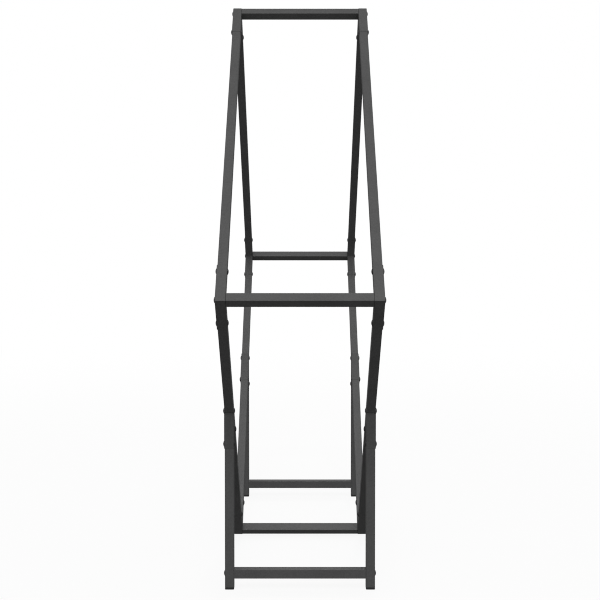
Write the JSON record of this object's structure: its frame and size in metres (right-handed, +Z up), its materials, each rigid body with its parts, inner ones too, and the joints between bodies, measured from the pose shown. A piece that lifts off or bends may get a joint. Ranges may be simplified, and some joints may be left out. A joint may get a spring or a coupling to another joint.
{
  "type": "firewood log rack",
  "caption": "Free-standing firewood rack: two square tube frames, each a diamond on two legs, joined by crossbars at the corners and feet, bolted with elbows and brackets.",
  "frame": {"origin": "on the ground under the middle of the rack", "axes": "+X across the rack from the left to the right side frame, +Y along its length from the front to the rear legs, +Z up"},
  "size_m": [0.2542, 0.996, 1],
  "materials": {
    "frame_steel": "anthracite powder coat, fine texture, semi-matt",
    "screw_steel": "black zinc, satin",
    "zinc_steel": "bright zinc",
    "foot_plastic": "black moulded polyethylene"
  },
  "bodies": {
    "root": {"bottom_crossbar": "frame_steel", "front_crossbar": "frame_steel", "front_leg_crossbar": "frame_steel", "left_bottom_elbow": "frame_steel", "left_crossbar_end_nuts": "zinc_steel", "left_crossbar_screws": "screw_steel", "left_front_elbow": "frame_steel", "left_front_foot_cap": "foot_plastic", "left_front_leg": "frame_steel", "left_front_leg_bracket": "frame_steel", "left_front_lower_rail": "frame_steel", "left_front_middle_rail": "frame_steel", "left_front_upper_rail": "frame_steel", "left_inner_joint_screws": "screw_steel", "left_joint_bushes": "zinc_steel", "left_outer_joint_screws": "screw_steel", "left_rear_elbow": "frame_steel", "left_rear_foot_cap": "foot_plastic", "left_rear_leg": "frame_steel", "left_rear_leg_bracket": "frame_steel", "left_rear_lower_rail": "frame_steel", "left_rear_middle_rail": "frame_steel", "left_rear_upper_rail": "frame_steel", "left_top_elbow": "frame_steel", "rear_crossbar": "frame_steel", "rear_leg_crossbar": "frame_steel", "right_bottom_elbow": "frame_steel", "right_crossbar_end_nuts": "zinc_steel", "right_crossbar_screws": "screw_steel", "right_front_elbow": "frame_steel", "right_front_foot_cap": "foot_plastic", "right_front_leg": "frame_steel", "right_front_leg_bracket": "frame_steel", "right_front_lower_rail": "frame_steel", "right_front_middle_rail": "frame_steel", "right_front_upper_rail": "frame_steel", "right_inner_joint_screws": "screw_steel", "right_joint_bushes": "zinc_steel", "right_outer_joint_screws": "screw_steel", "right_rear_elbow": "frame_steel", "right_rear_foot_cap": "foot_plastic", "right_rear_leg": "frame_steel", "right_rear_leg_bracket": "frame_steel", "right_rear_lower_rail": "frame_steel", "right_rear_middle_rail": "frame_steel", "right_rear_upper_rail": "frame_steel", "right_top_elbow": "frame_steel", "top_crossbar": "frame_steel"}
  },
  "joints": []
}
